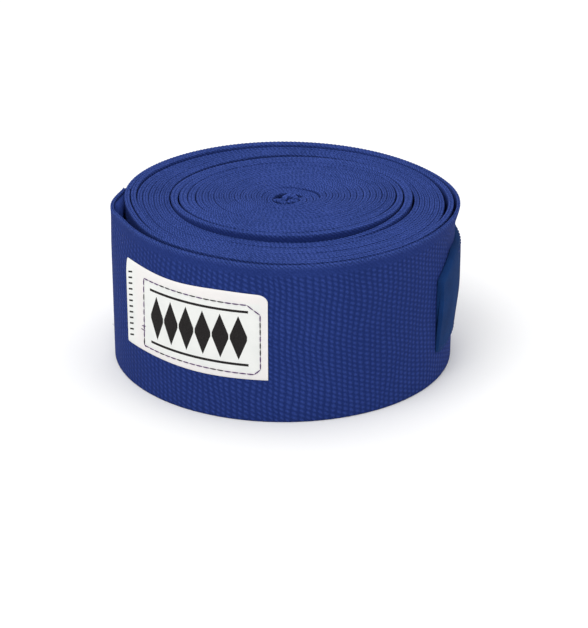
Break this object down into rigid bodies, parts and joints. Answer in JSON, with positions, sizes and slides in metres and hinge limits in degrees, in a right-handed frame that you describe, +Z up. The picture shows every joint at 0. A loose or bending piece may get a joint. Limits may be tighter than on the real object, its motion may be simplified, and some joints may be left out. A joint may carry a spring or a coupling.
{
  "type": "hand wrap",
  "caption": "Boxing hand wrap: a woven strip rolled up on its edge, with thumb loop at the core, stitched label and hook-and-loop closure on the outer end.",
  "frame": {"origin": "centre of the bounding box in plan, at the floor the roll stands on", "axes": "+Z up along the winding axis, -Y out of the front where the label is sewn, +X to the right of it"},
  "size_m": [0.1097, 0.1065, 0.0525],
  "materials": {
    "woven_strip": "matte woven cotton blend",
    "loop_pile": "brushed loop pile",
    "hook_tape": "matte hook tape",
    "satin_label": "satin woven label",
    "dark_thread": "sewing thread",
    "blue_thread": "sewing thread"
  },
  "bodies": {
    "roll": {"rim_turns": "woven_strip", "loop_patch": "loop_pile", "loop_patch_stitching": "blue_thread"},
    "band": {"band_outer_turns": "woven_strip", "band_inner_turns": "woven_strip"},
    "ring": {"ring_turns": "woven_strip"},
    "disc": {"disc_outer_turns": "woven_strip", "disc_middle_turns": "woven_strip", "disc_inner_turns": "woven_strip"},
    "core": {"centre_turns": "woven_strip", "thumb_loop": "woven_strip", "thumb_loop_tack": "blue_thread"},
    "tail": {"tail_strip": "woven_strip"},
    "tab": {"tab_strip": "woven_strip", "label": "satin_label", "label_stitching": "dark_thread", "hook_patch": "hook_tape"},
    "end_flap": {"end_strip": "woven_strip", "end_hem": "woven_strip"}
  },
  "joints": [
    {"name": "band_slip", "type": "slide", "parent": "roll", "child": "band", "axis": [0, 0, 1], "range_m": [0, 0.005]},
    {"name": "ring_slip", "type": "slide", "parent": "band", "child": "ring", "axis": [0, 0, 1], "range_m": [0, 0.004]},
    {"name": "disc_slip", "type": "slide", "parent": "ring", "child": "disc", "axis": [0, 0, 1], "range_m": [0, 0.007]},
    {"name": "core_slip", "type": "slide", "parent": "disc", "child": "core", "axis": [0, 0, 1], "range_m": [0, 0.01]},
    {"name": "tail_peel", "type": "hinge", "parent": "roll", "child": "tail", "pos_m": [0.03467, -0.03868, 0.0254], "axis": [0, 0, 1], "range_deg": [0, 75]},
    {"name": "tab_peel", "type": "hinge", "parent": "tail", "child": "tab", "pos_m": [0.00188, -0.05246, 0.0254], "axis": [0, 0, 1], "range_deg": [0, 60]},
    {"name": "end_flex", "type": "hinge", "parent": "tab", "child": "end_flap", "pos_m": [-0.05106, -0.01941, 0.0254], "axis": [0, 0, 1], "range_deg": [0, 45]}
  ]
}
